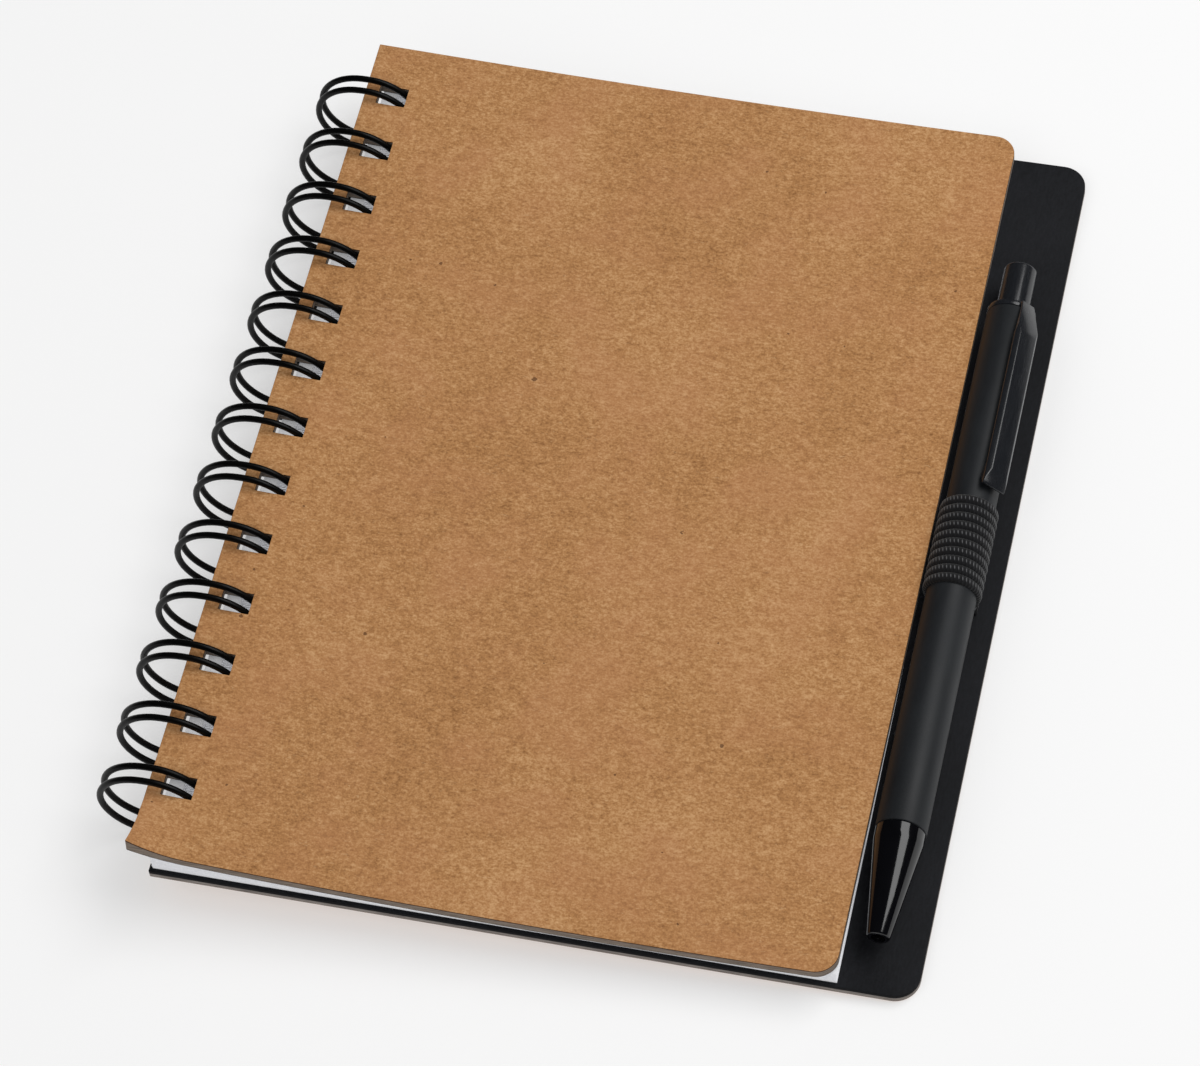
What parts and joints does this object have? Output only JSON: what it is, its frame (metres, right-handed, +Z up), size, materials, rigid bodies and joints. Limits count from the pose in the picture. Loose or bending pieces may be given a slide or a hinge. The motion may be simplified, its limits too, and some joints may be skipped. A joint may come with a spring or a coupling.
{
  "type": "spiral notebook",
  "caption": "Twin-loop wire-bound pocket notebook with kraft board covers, a longer back cover and a click ballpoint pen in an elastic loop.",
  "frame": {"origin": "middle of the notebook's bounding box, on the table it lies on", "axes": "+Y runs up the spine from the bottom edge to the top edge, +X from the spine to the fore-edge, +Z up from the table"},
  "size_m": [0.1464, 0.1778, 0.0192],
  "materials": {
    "kraft_board": "matte brown kraft paper outside and matte black paper inside, on grey board",
    "page_paper": "uncoated white paper",
    "black_wire": "black nylon-coated steel wire, satin",
    "black_elastic": "ribbed woven elastic, matte",
    "soft_black": "black plastic with a soft matte coat",
    "gloss_black": "polished black plastic",
    "white_plastic": "natural white acetal",
    "refill_plastic": "thin plastic tube, full of ink",
    "tip_brass": "turned brass, nickel plated",
    "ball_carbide": "polished hard metal",
    "spring_steel": "bright drawn spring wire"
  },
  "bodies": {
    "back_and_pen": {"back_cover": "kraft_board", "wire_binding": "black_wire", "pen_loop": "black_elastic", "pen_barrel": "soft_black", "nose_cone": "gloss_black", "pen_clip": "gloss_black", "button_guide": "white_plastic", "return_spring": "spring_steel"},
    "pages": {"page_block": "page_paper"},
    "front": {"front_cover": "kraft_board"},
    "button": {"pen_button": "gloss_black"},
    "refill": {"refill_tube": "refill_plastic", "refill_tip": "tip_brass", "writing_ball": "ball_carbide"},
    "cam": {"cam_rotor": "white_plastic"}
  },
  "joints": [
    {"name": "pages_turn", "type": "hinge", "parent": "back_and_pen", "child": "pages", "pos_m": [-0.06315, 0, 0.00962], "axis": [0, -1, 0], "range_deg": [0, 180]},
    {"name": "cover_turn", "type": "hinge", "parent": "pages", "child": "front", "pos_m": [-0.06315, 0, 0.00962], "axis": [0, -1, 0], "range_deg": [0, 180]},
    {"name": "button_press", "type": "slide", "parent": "back_and_pen", "child": "button", "axis": [0, -1, 0], "range_m": [0, 0.005], "stiffness_N_per_m": 250, "springref_m": -0.006},
    {"name": "refill_advance", "type": "slide", "parent": "back_and_pen", "child": "refill", "axis": [0, -1, 0], "range_m": [0, 0.005], "deforming": ["return_spring"]},
    {"name": "cam_turn", "type": "hinge", "parent": "refill", "child": "cam", "pos_m": [0.0656, 0, 0.00766], "axis": [0, 1, 0], "continuous": true}
  ],
  "couplings": [
    {"joint": "refill_advance", "follows": "button_press", "ratio": 1}
  ]
}
